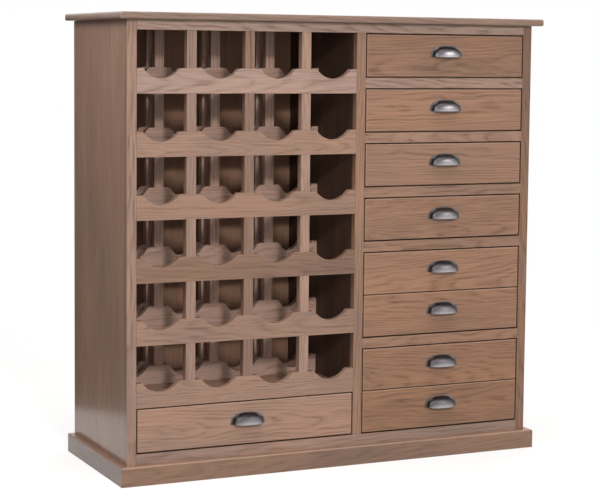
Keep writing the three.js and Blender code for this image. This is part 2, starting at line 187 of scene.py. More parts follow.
def woodMaterial(name, finish, pattern):
    material, tree = newMaterial(name)
    # every board carries its own place in the log: x along the grain, y and z from the pith
    grain = addNode(tree, "ShaderNodeAttribute", {"attribute_name": "grain"}).outputs["Vector"]
    noises = {}
    for key, (length, width, detail, roughness) in pattern["noises"].items():
        scaled = addNode(tree, "ShaderNodeVectorMath", {"operation": "MULTIPLY"},
                         {0: grain, 1: (1 / length, 1 / width, 1 / width)})
        noises[key] = addNode(tree, "ShaderNodeTexNoise", None,
                              {"Vector": scaled.outputs[0], "Scale": 1.0, "Detail": detail,
                               "Roughness": roughness})
    centred = addNode(tree, "ShaderNodeVectorMath", {"operation": "SUBTRACT"},
                      {0: noises["wander"].outputs["Color"], 1: (0.5, 0.5, 0.5)})
    depth = pattern["waveDepth"]
    pushed = addNode(tree, "ShaderNodeVectorMath", {"operation": "MULTIPLY_ADD"},
                     {0: centred.outputs[0], 1: (0, depth, depth), 2: grain})
    flat = addNode(tree, "ShaderNodeVectorMath", {"operation": "MULTIPLY"},
                   {0: pushed.outputs[0], 1: (0, 1, 1)})
    radius = addNode(tree, "ShaderNodeVectorMath", {"operation": "LENGTH"}, {0: flat.outputs[0]})
    turns = addNode(tree, "ShaderNodeMath", {"operation": "DIVIDE"},
                    {0: radius.outputs["Value"], 1: pattern["ringSpacing"]})
    ring = addNode(tree, "ShaderNodeMath", {"operation": "FRACT"}, {0: turns.outputs[0]})
    ringRamp = addNode(tree, "ShaderNodeValToRGB", None, {"Fac": ring.outputs[0]})
    rampStops(ringRamp, [(stop, (share, share, share, 1)) for stop, share in pattern["ringStops"]])
    poreMask = addNode(tree, "ShaderNodeMapRange", None,
                       {"Value": noises["pores"].outputs["Fac"], **pattern["poreRange"]})
    fibreMask = addNode(tree, "ShaderNodeMapRange", None,
                        {"Value": noises["fibres"].outputs["Fac"], **pattern["fibreRange"]})
    openGrain = addNode(tree, "ShaderNodeMath", {"operation": "MULTIPLY"},
                        {0: ringRamp.outputs["Color"], 1: fibreMask.outputs["Result"]})
    darkness = addNode(tree, "ShaderNodeMath", {"operation": "MULTIPLY_ADD", "use_clamp": True},
                       {0: poreMask.outputs["Result"], 1: pattern["poreShare"], 2: openGrain.outputs[0]})

    # how the board took the stain: x from grey to golden, y from pale to dark; z calms the grain
    stain = addNode(tree, "ShaderNodeAttribute", {"attribute_name": "stain"}).outputs["Vector"]
    taken = addNode(tree, "ShaderNodeSeparateXYZ", None, {0: stain})
    cloudMask = addNode(tree, "ShaderNodeMapRange", None,
                        {"Value": noises["clouds"].outputs["Fac"], **pattern["cloudRange"]})
    golden = addNode(tree, "ShaderNodeMath", {"operation": "ADD", "use_clamp": True},
                     {0: taken.outputs["X"], 1: cloudMask.outputs["Result"]})
    ground = addNode(tree, "ShaderNodeMix", {"data_type": "RGBA"},
                     {"Factor": golden.outputs[0], "A": hexColour(finish["grey"]),
                      "B": hexColour(finish["golden"])})
    boldness = addNode(tree, "ShaderNodeMapRange", None,
                       {"Value": taken.outputs["Z"], "To Min": finish["grainShare"], "To Max": 0.0})
    grainShare = addNode(tree, "ShaderNodeMath", {"operation": "MULTIPLY"},
                         {0: darkness.outputs[0], 1: boldness.outputs["Result"]})
    grained = addNode(tree, "ShaderNodeMix", {"data_type": "RGBA"},
                      {"Factor": grainShare.outputs[0], "A": ground.outputs["Result"],
                       "B": hexColour(finish["dark"])})
    uneven = addNode(tree, "ShaderNodeMath", {"operation": "MULTIPLY_ADD"},
                     {0: cloudMask.outputs["Result"], 1: -pattern["cloudShade"], 2: taken.outputs["Y"]})
    paleness = addNode(tree, "ShaderNodeMapRange", {"clamp": False},
                       {"Value": uneven.outputs[0], **pattern["stainShade"]})
    streaks = addNode(tree, "ShaderNodeMapRange", None,
                      {"Value": fibreMask.outputs["Result"], **pattern["fibreShade"]})
    shade = addNode(tree, "ShaderNodeMath", {"operation": "MULTIPLY"},
                    {0: paleness.outputs["Result"], 1: streaks.outputs["Result"]})
    stained = addNode(tree, "ShaderNodeVectorMath", {"operation": "SCALE"},
                      {0: grained.outputs["Result"], "Scale": shade.outputs[0]})
    arris = addNode(tree, "ShaderNodeAttribute", {"attribute_name": "arris"}).outputs["Fac"]
    arrisShare = addNode(tree, "ShaderNodeMath", {"operation": "MULTIPLY"},
                         {0: arris, 1: pattern["wornShare"]})
    colour = addNode(tree, "ShaderNodeMix", {"data_type": "RGBA"},
                     {"Factor": arrisShare.outputs[0], "A": stained.outputs[0],
                      "B": hexColour(finish["worn"])})
    relief = addNode(tree, "ShaderNodeBump", {"invert": True},
                     {"Height": darkness.outputs[0], "Strength": pattern["reliefStrength"],
                      "Distance": pattern["reliefDepth"]})
    dullness = addNode(tree, "ShaderNodeMapRange", None,
                       {"Value": darkness.outputs[0], "To Min": finish["roughness"],
                        "To Max": finish["roughness"] + pattern["openRoughness"]})
    shader = addNode(tree, "ShaderNodeBsdfPrincipled", None,
                     {"Base Color": colour.outputs["Result"], "Roughness": dullness.outputs["Result"],
                      "Specular IOR Level": finish["specular"], "IOR": 1.5,
                      "Coat Weight": finish["lacquer"], "Coat Roughness": pattern["lacquerRoughness"],
                      "Normal": relief.outputs["Normal"]})
    addNode(tree, "ShaderNodeOutputMaterial", None, {"Surface": shader.outputs[0]})
    return material


oakFront, oakThin, oakShadedInside, oakVeneer, birch = (
    woodMaterial(name, finish, woodPattern) for name, finish in woodFinishes.items()
)


# Zinc alloy with an aged pewter finish: cast, plated, blackened, then rubbed back.
# The eye gets a soft grey metal, brightest along the lower lip, where hands rub it, less bright on
# the flange, darker over the top and at the ends, partly patina and partly a painted dark reflection,
# and nearly black in the corner between cup and flange.
pewterFinish = {
    "tones": ((0.15, "#2a2325"), (0.5, "#5f5b5d"), (1.0, "#aba6a8")),    # black, dull and rubbed
    "mottleSize": 3 * mm, "mottleShare": 0.24,
    "scratchLength": 9 * mm, "scratchWidth": 0.5 * mm, "scratchDepth": 0.05 * mm, "scratchStrength": 0.12,
    "dullness": {"From Min": 0.1, "From Max": 0.9, "To Min": 0.5, "To Max": 0.32},
}


def pewterMaterial(name, finish):
    material, tree = newMaterial(name)
    place = addNode(tree, "ShaderNodeTexCoord").outputs["Object"]
    crown = addNode(tree, "ShaderNodeAttribute", {"attribute_name": "crown"}).outputs["Fac"]
    mottle = addNode(tree, "ShaderNodeTexNoise", None,
                     {"Vector": place, "Scale": 1 / finish["mottleSize"], "Detail": 3.0})
    rubbing = addNode(tree, "ShaderNodeMath", {"operation": "MULTIPLY_ADD"},
                      {0: mottle.outputs["Fac"], 1: finish["mottleShare"], 2: crown})
    tone = addNode(tree, "ShaderNodeValToRGB", None, {"Fac": rubbing.outputs[0]})
    rampStops(tone, [(stop, hexColour(code)) for stop, code in finish["tones"]])
    scratchScale = (1 / finish["scratchLength"], 1 / finish["scratchWidth"], 1 / finish["scratchWidth"])
    stretched = addNode(tree, "ShaderNodeVectorMath", {"operation": "MULTIPLY"}, {0: place, 1: scratchScale})
    scratches = addNode(tree, "ShaderNodeTexNoise", None,
                        {"Vector": stretched.outputs[0], "Scale": 1.0, "Detail": 2.0})
    dullness = addNode(tree, "ShaderNodeMapRange", None,
                       {"Value": rubbing.outputs[0], **finish["dullness"]})
    relief = addNode(tree, "ShaderNodeBump", None,
                     {"Height": scratches.outputs["Fac"], "Strength": finish["scratchStrength"],
                      "Distance": finish["scratchDepth"]})
    shader = addNode(tree, "ShaderNodeBsdfPrincipled", None,
                     {"Base Color": tone.outputs["Color"], "Metallic": 1.0,
                      "Roughness": dullness.outputs["Result"], "Normal": relief.outputs["Normal"]})
    addNode(tree, "ShaderNodeOutputMaterial", None, {"Surface": shader.outputs[0]})
    return material


pewter = pewterMaterial("agedPewterCast", pewterFinish)


def startBoards():
    # an empty mesh with room for the grain at each face corner, rubbed arrises and the stain
    bm = bmesh.new()
    bm.loops.layers.float_vector.new("grain")
    bm.faces.layers.float.new("arris")
    bm.faces.layers.float_vector.new("stain")
    return bm


def moveInto(bm, part):
    # joins a finished part to a mesh through a passing mesh datablock
    carrier = bpy.data.meshes.new("carrier")
    part.to_mesh(carrier)
    part.free()
    bm.from_mesh(carrier)
    bpy.data.meshes.remove(carrier)


def addBlock(bm, low, high):
    low, high = Vector(low), Vector(high)
    verts = bmesh.ops.create_cube(bm, size=1)["verts"]
    bmesh.ops.scale(bm, vec=high - low, verts=verts)
    bmesh.ops.translate(bm, vec=(low + high) / 2, verts=verts)


def easeEdges(bm, edges, width, segments=2):
    arris = bm.faces.layers.float["arris"]
    made = bmesh.ops.bevel(bm, geom=edges, offset=width, affect="EDGES", segments=segments, profile=0.5,
                           material=-1, clamp_overlap=True)
    for face in made["faces"]:
        face[arris] = 1


def sharpEdges(bm, angle=35):
    return [edge for edge in bm.edges
            if len(edge.link_faces) == 2 and edge.calc_face_angle() > math.radians(angle)]


def pick(items, kind):
    return [item for item in items if isinstance(item, kind)]


def axisVector(axis):
    return Vector((axis == "x", axis == "y", axis == "z"))


def sliceAt(bm, point, outward, clear=False):
    # cuts the whole mesh by a plane; a vertex within a hair of the plane counts as on it
    everything = [*bm.verts, *bm.edges, *bm.faces]
    return bmesh.ops.bisect_plane(bm, geom=everything, dist=hair, plane_co=point, plane_no=outward,
                                  clear_outer=clear)["geom_cut"]


def splitAcross(bm, axis, places):
    normal = axisVector(axis)
    for place in places:
        sliceAt(bm, normal * place, normal)


def staveJoints(low, high, staves):
    return [low + (high - low) / staves * i for i in range(1, staves)]


# Boards whose stain shows in the photograph: from grey (0) to golden (1), from pale (0) to dark (1),
# and past these where a board goes further; a third number calms the grain.
stainOf = {
    "drawer_1_front": (0.75, 0.8), "drawer_2_front": (0.72, 0.55), "drawer_3_front": (0.65, 0.5),
    "drawer_4_front": (0.8, 0.55), "deep_drawer_1_upper_front": (0.8, 0.45),
    "deep_drawer_1_lower_front": (0.9, 0.4), "deep_drawer_2_upper_front": (0.95, 0.65),
    "deep_drawer_2_lower_front": (1.0, 0.85), "wide_drawer_front": (0.45, 0.25, 0.15),
    "left_stile": (0.25, 0.6), "centre_stile": (0.6, 0.6), "right_stile": (0.75, 1.2),
    "top_rail": (0.0, 0.1), "bottom_rail": (0.25, 0.5, 0.15), "top_board": (0.2, 0.95, 0.15),
    "drawer_rail_1": (0.25, 0.1), "drawer_rail_2": (0.5, 0.3), "drawer_rail_3": (0.6, 0.65),
    "drawer_rail_4": (0.65, 0.7),
    "rack_rail_1": (0.0, 0.1, 0.25), "rack_rail_2": (0.4, 0.45, 0.25), "rack_rail_3": (0.45, 0.6, 0.25),
    "rack_rail_4": (0.6, 1.25, 0.25), "rack_rail_5": (0.45, 0.6, 0.25), "rack_rail_6": (0.45, 0.35, 0.25),
    "rack_post_1": (0.3, 0.5, 0.15), "rack_post_2": (0.45, 1.1, 0.15), "rack_post_3": (0.3, 0.0, 0.15),
    # the lattices deep in the rack are stained paler than any board: painted light
    "rack_middle_lattice": (0.1, -0.5, 0.25), "rack_rear_lattice": (0.1, -0.7, 0.25),
    # the divider's dark stain is painted shade of the rack's inside
    "divider_panel": (0.5, 1.2), "left_side_panel": (0.35, 0.35, 0.5), "right_side_panel": (0.45, 0.3, 0.5),
    "plinth_left": (0.25, 1.4, 0.45), "plinth_front": (0.6, 1.2, 0.4), "plinth_right": (0.6, 0.8, 0.3),
}


logShape = {
    "length": 40,                         # metres of trunk that the boards come from
    "pithAcross": 0.05,                   # most that the pith lies to one side of a board
    "pithDepth": (0.035, 0.09),           # least and most that it lies under or over it
    "leanAcross": 0.035, "leanDepth": 0.06,    # most that the grain strays in a metre
    "golden": (0.4, 0.75), "dark": (0.35, 0.65),    # stain of the boards that don't show
}


def layGrain(bm, faces, axes, seed, jointPlaces=()):
    # axes names the board's directions in the log: along, across and through, such as "xzy"
    layer = bm.loops.layers.float_vector["grain"]
    stain = bm.faces.layers.float_vector["stain"]
    along, across, through = ("xyz".index(letter) for letter in axes)
    corners = [vert.co for face in faces for vert in face.verts]
    middle = [(min(co[i] for co in corners) + max(co[i] for co in corners)) / 2 for i in range(3)]
    logs = []
    for stave in range(len(jointPlaces) + 1):
        dice = random.Random(f"{seed} stave {stave}")
        logs.append({
            "start": dice.uniform(0, logShape["length"]),
            "pithAcross": dice.uniform(-logShape["pithAcross"], logShape["pithAcross"]),
            "pithDepth": dice.choice((-1, 1)) * dice.uniform(*logShape["pithDepth"]),
            "leanAcross": dice.uniform(-logShape["leanAcross"], logShape["leanAcross"]),
            "leanDepth": dice.uniform(-logShape["leanDepth"], logShape["leanDepth"]),
            "stain": stainOf.get(seed.split()[0],
                                 (dice.uniform(*logShape["golden"]), dice.uniform(*logShape["dark"]))),
        })
    for face in faces:
        centre = face.calc_center_median()[across]
        log = logs[sum(centre > place for place in jointPlaces)]
        face[stain] = (*log["stain"], 0)[:3]    # two numbers leave the grain as it is
        for loop in face.loops:
            place = loop.vert.co - Vector(middle)
            run = place[along]
            loop[layer] = Vector((
                run + log["start"],
                place[across] + log["pithAcross"] + log["leanAcross"] * run,
                place[through] + log["pithDepth"] + log["leanDepth"] * run,
            ))


def finishPiece(bm, node, ending, material, smoothAngle):
    name = node + ending
    bmesh.ops.recalc_face_normals(bm, faces=bm.faces)
    mesh = bpy.data.meshes.new(name)
    bm.to_mesh(mesh)
    bm.free()
    mesh.materials.append(material)
    for polygon in mesh.polygons:
        polygon.use_smooth = True
    mesh.set_sharp_from_angle(angle=math.radians(smoothAngle))
    piece = bpy.data.objects.new(name, mesh)
    bpy.context.scene.collection.objects.link(piece)
    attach(piece, bodyOfNode[node])
    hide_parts(node)
    return piece


def finishWood(bm, node, material, smoothAngle=40):
    piece = finishPiece(bm, node, "_wood", material, smoothAngle)
    # the large faces keep their own direction, so that only the arrises shade round
    piece.modifiers.new("broadFaces", "WEIGHTED_NORMAL").keep_sharp = True


# Painted shade of the gaps, together with the stain and wax that gather there: on the sides of a front board
# and the outer part of its arris.
# Along the upper edge the arris keeps its pale rubbed colour, which here also stands as painted highlight.
gapWaxAndShade = {
    "amount": 1.5,            # on the boards that have gaps beside them
    "stain": (0.3, 1, 0),     # its tone: some of it golden, most of it dark
    "frontFrom": 0.9,         # a face that looks at least this much forward is front and stays clean
    "rubbedUp": 0.1, "rubbedForward": 0.4,    # the upper arris looks up and forward more than this
}


def darkenGapsWithWaxAndShade(bm, amount):
    stain, arris = bm.faces.layers.float_vector["stain"], bm.faces.layers.float["arris"]
    for face in bm.faces:
        forward = abs(face.normal.y)
        if face.normal.z > gapWaxAndShade["rubbedUp"] and forward > gapWaxAndShade["rubbedForward"]:
            continue
        # painted shade and wax: the further a face turns from the front, the darker it is made
        turned = max(0, 1 - forward / gapWaxAndShade["frontFrom"])
        face[stain] += Vector(gapWaxAndShade["stain"]) * amount * turned
        face[arris] *= turned == 0


def makeBoard(node, axes, material, arris, segments=2, staves=1, sideWaxAndShade=0):
    # a sawn board in the place of a node; wide ones are glued up from staves
    low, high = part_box(node)
    bm = startBoards()
    addBlock(bm, low, high)
    easeEdges(bm, bm.edges[:], arris, segments)
    across = "xyz".index(axes[1])
    joints = staveJoints(low[across], high[across], staves)
    splitAcross(bm, axes[1], joints)
    layGrain(bm, bm.faces[:], axes, node, joints)
    darkenGapsWithWaxAndShade(bm, sideWaxAndShade)
    finishWood(bm, node, material)


# Face frame: grain runs up the stiles and along the rails.
print("face frame")
faceFrame = {"arris": 0.8 * mm, "drawerRails": 5}
for node in ("left_stile", "centre_stile", "right_stile"):
    makeBoard(node, "zxy", oakFront, faceFrame["arris"])
railNodes = ["top_rail", "bottom_rail"]
railNodes += [f"drawer_rail_{i + 1}" for i in range(faceFrame["drawerRails"])]
for node in railNodes:
    makeBoard(node, "xzy", oakFront, faceFrame["arris"], sideWaxAndShade=gapWaxAndShade["amount"])


# Carcass panels, glued up from staves about 100 to 150 mm wide.
print("carcass")
carcass = {"arris": 0.6 * mm, "sideStaves": 4, "backStaves": 8, "bottomStaves": 4,
           "rebateDepth": 8.6 * mm, "rebateWidth": 10 * mm}
# the divider, bottom board and plinth back take the darker wash: painted shade
makeBoard("divider_panel", "zyx", oakShadedInside, carcass["arris"], staves=carcass["sideStaves"])
makeBoard("rack_floor_board", "xyz", oakFront, carcass["arris"], staves=carcass["bottomStaves"])
makeBoard("bottom_board", "xyz", oakShadedInside, carcass["arris"], staves=carcass["bottomStaves"])
makeBoard("back_panel", "zxy", oakVeneer, carcass["arris"], staves=carcass["backStaves"])
makeBoard("plinth_back", "xzy", oakShadedInside, carcass["arris"])


def makeSidePanel(node, side, settings):
    # the rear inner corner is rebated for the back panel
    low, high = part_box(node)
    outer, inner = (low.x, high.x) if side < 0 else (high.x, low.x)
    rebateX = inner + side * settings["rebateWidth"]
    rebateY = high.y - settings["rebateDepth"]
    bm = startBoards()
    corners = [(outer, low.y), (inner, low.y), (inner, rebateY), (rebateX, rebateY), (rebateX, high.y),
               (outer, high.y)]
    foot = bm.faces.new([bm.verts.new((x, y, low.z)) for x, y in corners])
    grown = bmesh.ops.extrude_face_region(bm, geom=[foot], use_keep_orig=True)["geom"]
    bmesh.ops.translate(bm, vec=(0, 0, high.z - low.z), verts=pick(grown, bmesh.types.BMVert))
    bmesh.ops.recalc_face_normals(bm, faces=bm.faces)
    easeEdges(bm, sharpEdges(bm), settings["arris"])
    joints = staveJoints(low.y, high.y, settings["sideStaves"])
    splitAcross(bm, "y", joints)
    layGrain(bm, bm.faces[:], "zyx", node, joints)
    finishWood(bm, node, oakFront)


makeSidePanel("left_side_panel", -1, carcass)
makeSidePanel("right_side_panel", 1, carcass)


# Top board: rounded over at the front and sides, square at the back.
topBoard = {"edgeRound": 5 * mm, "cornerRound": 6 * mm, "segments": 5, "staves": 4}


def makeTopBoard(node, settings):
    low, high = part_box(node)
    bm = startBoards()
    addBlock(bm, low, high)
    corners = [edge for edge in bm.edges
               if abs(edge.verts[0].co.z - edge.verts[1].co.z) > hair and edge.verts[0].co.y < 0]
    bmesh.ops.bevel(bm, geom=corners, offset=settings["cornerRound"], affect="EDGES",
                    segments=settings["segments"], profile=0.5, material=-1)
    rim = [edge for edge in bm.edges
           if abs(edge.verts[0].co.z - edge.verts[1].co.z) < hair
           and not all(abs(vert.co.y - high.y) < hair for vert in edge.verts)]
    bmesh.ops.bevel(bm, geom=rim, offset=settings["edgeRound"], affect="EDGES",
                    segments=settings["segments"], profile=0.5, material=-1)
    joints = staveJoints(low.y, high.y, settings["staves"])
    splitAcross(bm, "y", joints)
    layGrain(bm, bm.faces[:], "xyz", node, joints)
    finishWood(bm, node, oakFront, smoothAngle=30)


makeTopBoard("top_board", topBoard)


# Plinth boards: eased upper edge, mitred at the front corners.
print("plinth")
plinth = {"edgeRound": 3.5 * mm, "segments": 4}


def makePlinth(node, axes, mitres, settings):
    # a mitre is a front corner of the board, -1 left or 1 right, and the way its cut faces
    low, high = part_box(node)
    bm = startBoards()
    addBlock(bm, low, high)
    across = 1 - "xyz".index(axes[0])
    outside = high[across] if low[across] > 0 else low[across]    # away from the cabinet's middle
    upper = [edge for edge in bm.edges
             if all(abs(vert.co.z - high.z) < hair and abs(vert.co[across] - outside) < hair
                    for vert in edge.verts)]
    easeEdges(bm, upper, settings["edgeRound"], settings["segments"])
    for side, outward in mitres:
        corner = Vector((low.x if side < 0 else high.x, low.y, 0))
        cut = sliceAt(bm, corner, outward, clear=True)
        bmesh.ops.edgeloop_fill(bm, edges=pick(cut, bmesh.types.BMEdge))
    layGrain(bm, bm.faces[:], axes, node)
    finishWood(bm, node, oakFront, smoothAngle=30)


makePlinth("plinth_front", "xzy", [(-1, (-1, 1, 0)), (1, (1, 1, 0))], plinth)
makePlinth("plinth_left", "yzx", [(-1, (1, -1, 0))], plinth)
makePlinth("plinth_right", "yzx", [(1, (-1, -1, 0))], plinth)


# Rack: half-lapped rails and posts; every rail has a rounded hollow under each cell.
print("rack")
rack = {
    "rows": 6, "columns": 4,
    "railHeight": 64 * mm,
    "frontHollow": {"radius": 61 * mm, "depth": 25.7 * mm, "shoulder": 4 * mm},
    "innerHollow": {"radius": 51 * mm, "depth": 33 * mm, "shoulder": 15 * mm},
    "scallopSteps": 18, "shoulderSteps": 4,
    "arris": 0.7 * mm,
    "shortestEased": 10 * mm,   # edges of a post that are shorter stay sharp
}
postBoxes = [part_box(f"rack_post_{i + 1}") for i in range(rack["columns"] - 1)]
railBoxes = [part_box(f"rack_rail_{i + 1}") for i in range(rack["rows"])]
postWidth = postBoxes[0][1].x - postBoxes[0][0].x
postPitch = postBoxes[1][0].x - postBoxes[0][0].x
cellMiddles = [postBoxes[0][0].x + postWidth / 2 + postPitch * (i - 0.5) for i in range(rack["columns"])]


def spinArc(bm, vert, centre, angle, steps):
    # draws an arc from a vertex about an axis along y and returns its far end
    made = bmesh.ops.spin(bm, geom=[vert], cent=centre, axis=(0, 1, 0), dvec=(0, 0, 0), angle=angle,
                          steps=steps, use_merge=False, use_duplicate=False)
    return pick(made["geom_last"], bmesh.types.BMVert)[0]


def drawTo(bm, vert, place):
    made = bmesh.ops.extrude_vert_indiv(bm, verts=[vert])
    made["verts"][0].co = place
    return made["verts"][0]


def scallopedFace(bm, x0, x1, y, foot, flat, hollow, settings):
    # drawn in an empty mesh: from the upper left to the right over the hollows, and back below
    arcCentre = flat - hollow["depth"] + hollow["radius"]
    shoulderCentre = flat - hollow["shoulder"]
    reach = hollow["radius"] + hollow["shoulder"]
    spread = math.sqrt(reach ** 2 - (arcCentre - shoulderCentre) ** 2)
    slope = math.atan2(arcCentre - shoulderCentre, spread)
    first = bm.verts.new((x0, y, flat))
    pen = first
    for middle in cellMiddles:
        pen = drawTo(bm, pen, (middle - spread, y, flat))
        pen = spinArc(bm, pen, (middle - spread, y, shoulderCentre), math.pi / 2 - slope,
                      settings["shoulderSteps"])
        pen = spinArc(bm, pen, (middle, y, arcCentre), 2 * slope - math.pi, settings["scallopSteps"])
        pen = spinArc(bm, pen, (middle + spread, y, shoulderCentre), math.pi / 2 - slope,
                      settings["shoulderSteps"])
    for place in ((x1, y, flat), (x1, y, foot), (x0, y, foot)):
        pen = drawTo(bm, pen, place)
    bm.edges.new((pen, first))
    return bmesh.ops.edgeloop_fill(bm, edges=bm.edges[:])["faces"][0]


def growFaces(bm, faces, depth, keep=False):
    # the edges go in too, because without them the faces stay behind as inner walls
    borders = dict.fromkeys(edge for face in faces for edge in face.edges)
    grown = bmesh.ops.extrude_face_region(bm, geom=[*faces, *borders], use_keep_orig=keep)["geom"]
    bmesh.ops.translate(bm, vec=(0, depth, 0), verts=pick(grown, bmesh.types.BMVert))
    return pick(grown, bmesh.types.BMFace)


def cutFaces(bm, faces, axis, places):
    # splits flat faces at the places and returns all the parts
    normal = axisVector(axis)
    parts = list(faces)
    for place in places:
        geom = list(dict.fromkeys(item for face in parts for item in (face, *face.edges, *face.verts)))
        made = bmesh.ops.bisect_plane(bm, geom=geom, plane_co=normal * place, plane_no=normal)
        parts = pick(made["geom"], bmesh.types.BMFace)
    return parts


def liesAt(edge, y):
    return all(abs(vert.co.y - y) < hair for vert in edge.verts)


def addRail(bm, x0, x1, foot, front, back, hollow, seed, settings):
    # the front half runs through; the back half is left out where the posts cross
    bare = startBoards()
    lap = (front + back) / 2
    flat = foot + settings["railHeight"]
    face = scallopedFace(bare, x0, x1, front, foot, flat, hollow, settings)
    rear = growFaces(bare, [face], lap - front, keep=True)
    places = [place for low, high in postBoxes for place in (low.x, high.x)]
    parts = cutFaces(bare, rear, "x", places)
    cells = [part for part in parts
             if not any(low.x < part.calc_center_bounds().x < high.x for low, high in postBoxes)]
    growFaces(bare, cells, back - lap)
    bmesh.ops.recalc_face_normals(bare, faces=bare.faces)
    outlines = [edge for edge in sharpEdges(bare) if liesAt(edge, front) or liesAt(edge, back)]
    easeEdges(bare, outlines, settings["arris"])
    layGrain(bare, bare.faces[:], "xzy", seed)
    moveInto(bm, bare)


def addPost(bm, x0, x1, foot, head, front, back, crossings, seed, settings):
    # the back half runs through; the front half is left out where the rails cross
    bare = startBoards()
    lap = (front + back) / 2
    addBlock(bare, (x0, lap, foot), (x1, back, head))
    lapFace = [face for face in bare.faces if face.calc_center_median().y < lap + hair]
    parts = cutFaces(bare, lapFace, "z", [place for crossing in crossings for place in crossing])
    clear = [part for part in parts
             if not any(low < part.calc_center_bounds().z < high for low, high in crossings)]
    growFaces(bare, clear, front - lap)
    bmesh.ops.recalc_face_normals(bare, faces=bare.faces)
    upright = [edge for edge in sharpEdges(bare)
               if abs(edge.verts[0].co.z - edge.verts[1].co.z) > settings["shortestEased"]
               and (liesAt(edge, front) or liesAt(edge, back))]
    easeEdges(bare, upright, settings["arris"])
    layGrain(bare, bare.faces[:], "zxy", seed)
    moveInto(bm, bare)


crossings = [(low.z, low.z + rack["railHeight"]) for low, high in railBoxes]
for i, (low, high) in enumerate(railBoxes):
    node = f"rack_rail_{i + 1}"
    bm = startBoards()
    addRail(bm, low.x, high.x, low.z, low.y, high.y, rack["frontHollow"], node, rack)
    finishWood(bm, node, oakFront, smoothAngle=30)
for i, (low, high) in enumerate(postBoxes):
    node = f"rack_post_{i + 1}"
    bm = startBoards()
    addPost(bm, low.x, high.x, low.z, high.z, low.y, high.y, crossings, node, rack)
    finishWood(bm, node, oakFront, smoothAngle=30)


def makeInnerLattice(node, settings):
    low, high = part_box(node)
    bm = startBoards()
    laps = [(max(foot, low.z), head) for foot, head in crossings]    # the lowest rail is cut short
    for i, (foot, head) in enumerate(laps):
        addRail(bm, low.x, high.x, foot, low.y, high.y, settings["innerHollow"], f"{node} rail {i}",
                {**settings, "railHeight": head - foot})
    for i, (postLow, postHigh) in enumerate(postBoxes):
        addPost(bm, postLow.x, postHigh.x, low.z, high.z, low.y, high.y, laps, f"{node} post {i}", settings)
    finishWood(bm, node, oakThin, smoothAngle=30)


makeInnerLattice("rack_middle_lattice", rack)
makeInnerLattice("rack_rear_lattice", rack)


def addBoard(bm, low, high, axes, seed, arris):
    # one more board of a node that is glued up from several
    board = startBoards()
    addBlock(board, low, high)
    easeEdges(board, board.edges[:], arris)
    layGrain(board, board.faces[:], axes, seed)
    moveInto(bm, board)


# Runner boards: a thin spine with a runner under each drawer above the lowest. The spine ends in
# line with the edge of the stile in front of it.
print("runners")
runners = {"height": 16 * mm, "arris": 0.8 * mm}
spineFaces = {-1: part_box("centre_stile")[1].x, 1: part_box("right_stile")[0].x}


def makeRunnerBoard(node, side, settings):
    low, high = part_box(node)
    left, right = sorted((spineFaces[side], low.x if side < 0 else high.x))
    runnerLeft, runnerRight = sorted((spineFaces[side], high.x if side < 0 else low.x))
    bm = startBoards()
    addBoard(bm, (left, low.y, low.z), (right, high.y, high.z), "zyx", node, settings["arris"])
    for i in range(faceFrame["drawerRails"]):
        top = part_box(f"drawer_rail_{i + 1}")[1].z
        addBoard(bm, (runnerLeft, low.y, top - settings["height"]), (runnerRight, high.y, top), "yzx",
                 f"{node} runner {i}", settings["arris"])
    finishWood(bm, node, birch)


makeRunnerBoard("left_runner_board", -1, runners)
makeRunnerBoard("right_runner_board", 1, runners)
makeBoard("wide_drawer_guide", "yzx", birch, runners["arris"])


# Drawers: inset fronts of solid oak on plain boxes.
print("drawers")
drawer = {"arris": 3 * mm, "arrisSteps": 4, "wall": 12 * mm, "floor": 6 * mm, "floorRise": 9 * mm,
          "housing": 5 * mm, "backDrop": 10 * mm, "boxArris": 0.8 * mm, "floorArris": 0.2 * mm}


def makeDrawerBox(node, settings):
    # sides run the full depth; front and back stand between them, the floor is housed
    low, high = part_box(node)
    wall, arris = settings["wall"], settings["boxArris"]
    bm = startBoards()
    addBoard(bm, low, (low.x + wall, high.y, high.z), "yzx", node + " left", arris)
    addBoard(bm, (high.x - wall, low.y, low.z), high, "yzx", node + " right", arris)
    addBoard(bm, (low.x + wall, low.y, low.z), (high.x - wall, low.y + wall, high.z), "xzy",
             node + " front", arris)
    addBoard(bm, (low.x + wall, high.y - wall, low.z),
             (high.x - wall, high.y, high.z - settings["backDrop"]), "xzy", node + " back", arris)
    housed = wall - settings["housing"]
    under = low.z + settings["floorRise"]
    addBoard(bm, (low.x + housed, low.y + housed, under),
             (high.x - housed, high.y - housed, under + settings["floor"]), "xyz", node + " floor",
             settings["floorArris"])
    finishWood(bm, node, birch)


nodeNames = sorted(bodyOfNode)
for node in nodeNames:
    if node.endswith("_front") and node != "plinth_front":
        makeBoard(node, "xzy", oakFront, drawer["arris"], drawer["arrisSteps"],
                  sideWaxAndShade=gapWaxAndShade["amount"])
    if node.endswith("_box"):
        makeDrawerBox(node, drawer)


# Cup pulls: one casting, a full rounded cup on a thin flange, open below.
print("cup pulls")
cupPull = {
    "cupWidth": 81 * mm, "cupHeight": 27.5 * mm,
    "fullness": 2.5,          # 2 is an ellipsoid, more makes the cup squarer
    "flange": 1.8 * mm, "wall": 1.8 * mm,
    "cuts": 15,               # odd, so that a row of vertices lies on each middle plane
    "flangeFrom": 1.06,       # share of the cup's outline past which a vertex is on the flange
    "rubbedFrom": 0.14,       # share of the reach from which the cup is fully rubbed
    "topDullness": 1.15, "endDullness": 0.5, "cornerRubbing": 0.07, "rimRubbing": 0.45,
}


